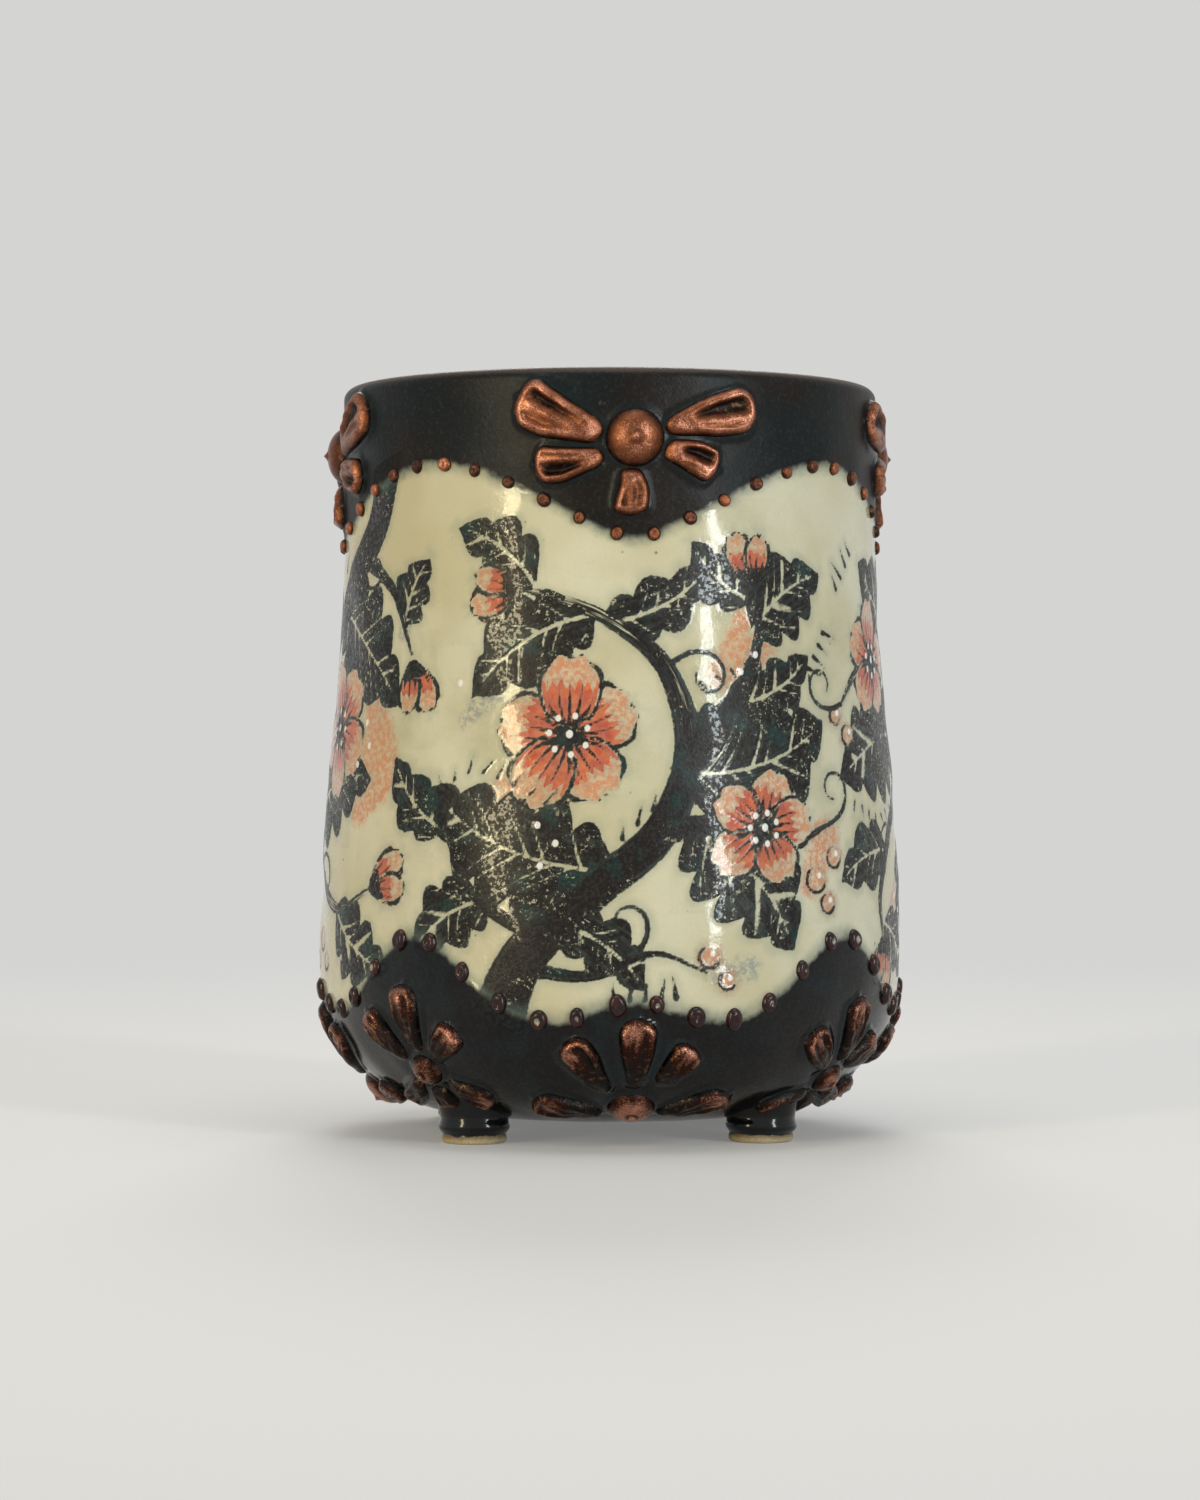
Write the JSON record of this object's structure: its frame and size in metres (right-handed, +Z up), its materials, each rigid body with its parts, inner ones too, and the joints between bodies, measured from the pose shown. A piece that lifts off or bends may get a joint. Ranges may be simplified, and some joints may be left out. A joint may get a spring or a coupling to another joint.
{
  "type": "footed drinking tumbler",
  "caption": "Handleless glazed ceramic tumbler on small button feet, with pressed petal ornaments and trailed beads along scalloped dark bands round the lip and the base.",
  "frame": {"origin": "on the cup's axis, in the plane of the feet's soles", "axes": "+Z up along the cup's axis, -Y towards the pictured side, +X to its right"},
  "size_m": [0.084, 0.084, 0.1053],
  "materials": {
    "painted_glaze": "cream gloss glaze over black brush painting, with satin black bands at the lip and the base",
    "dark_glaze": "black gloss glaze, wiped off the soles to pale bare clay",
    "copper_lustre": "satin copper lustre, browner in the hollows",
    "dark_lustre": "dark red-brown gloss with pale worn tips"
  },
  "bodies": {
    "root": {"cup_body": "painted_glaze", "foot_front_right": "dark_glaze", "foot_back_right": "dark_glaze", "foot_back_left": "dark_glaze", "foot_front_left": "dark_glaze", "rosette_boss_front": "copper_lustre", "rosette_petals_front": "copper_lustre", "fan_boss_front": "copper_lustre", "fan_petals_front": "copper_lustre", "rosette_boss_right": "copper_lustre", "rosette_petals_right": "copper_lustre", "fan_boss_right": "copper_lustre", "fan_petals_right": "copper_lustre", "rosette_boss_back": "copper_lustre", "rosette_petals_back": "copper_lustre", "fan_boss_back": "copper_lustre", "fan_petals_back": "copper_lustre", "rosette_boss_left": "copper_lustre", "rosette_petals_left": "copper_lustre", "fan_boss_left": "copper_lustre", "fan_petals_left": "copper_lustre", "flower_boss_front_right": "copper_lustre", "flower_petals_front_right": "copper_lustre", "flower_boss_back_right": "copper_lustre", "flower_petals_back_right": "copper_lustre", "flower_boss_back_left": "copper_lustre", "flower_petals_back_left": "copper_lustre", "flower_boss_front_left": "copper_lustre", "flower_petals_front_left": "copper_lustre", "upper_beads_front_right": "copper_lustre", "lower_beads_front_right": "dark_lustre", "upper_beads_back_right": "copper_lustre", "lower_beads_back_right": "dark_lustre", "upper_beads_back_left": "copper_lustre", "lower_beads_back_left": "dark_lustre", "upper_beads_front_left": "copper_lustre", "lower_beads_front_left": "dark_lustre"}
  },
  "joints": []
}
